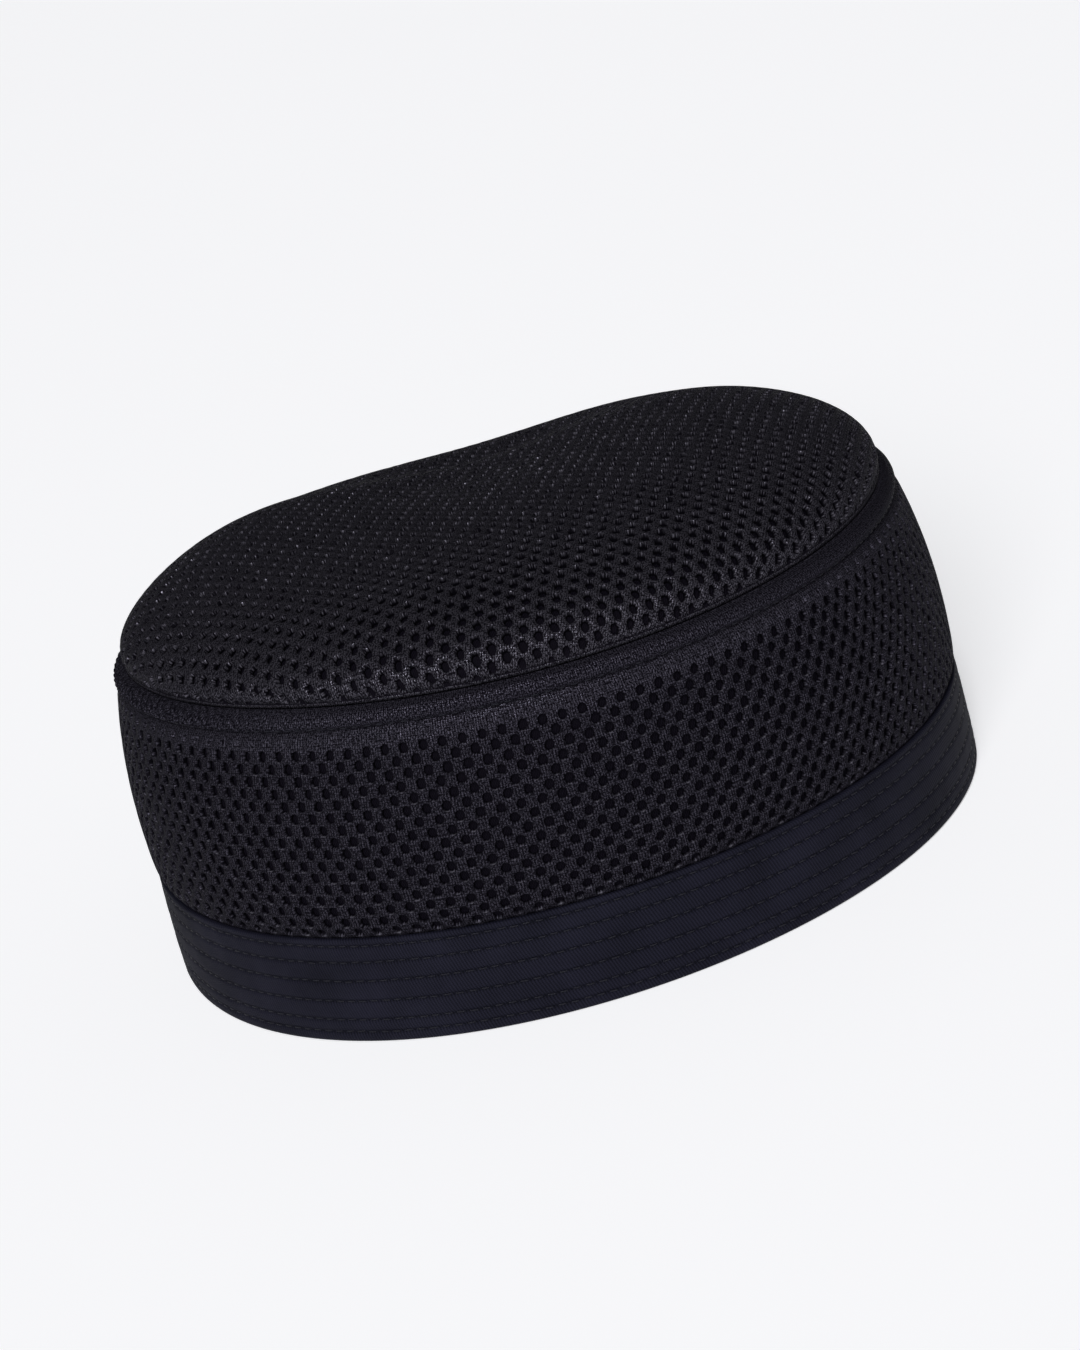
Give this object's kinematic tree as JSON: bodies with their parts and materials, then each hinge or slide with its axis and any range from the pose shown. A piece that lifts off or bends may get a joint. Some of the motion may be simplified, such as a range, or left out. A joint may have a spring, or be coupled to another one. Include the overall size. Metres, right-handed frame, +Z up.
{
  "type": "prayer cap",
  "caption": "Soft oval brimless cap: a low domed crown and a side wall of padded air mesh, joined by a grooved seam, over a stitched cloth headband.",
  "frame": {"origin": "on the ground under the middle of the rim's oval, the cap resting on its rim", "axes": "+Z up through the crown, X along the oval from back to front of the head, Y across it; the pictured side faces -Y"},
  "size_m": [0.204, 0.1742, 0.0959],
  "materials": {
    "air_mesh": "near-black knitted air mesh, matt with a faint sheen",
    "band_cloth": "navy-black twill, matt"
  },
  "bodies": {
    "root": {"crown": "air_mesh", "side_wall": "air_mesh", "headband": "band_cloth"}
  },
  "joints": []
}
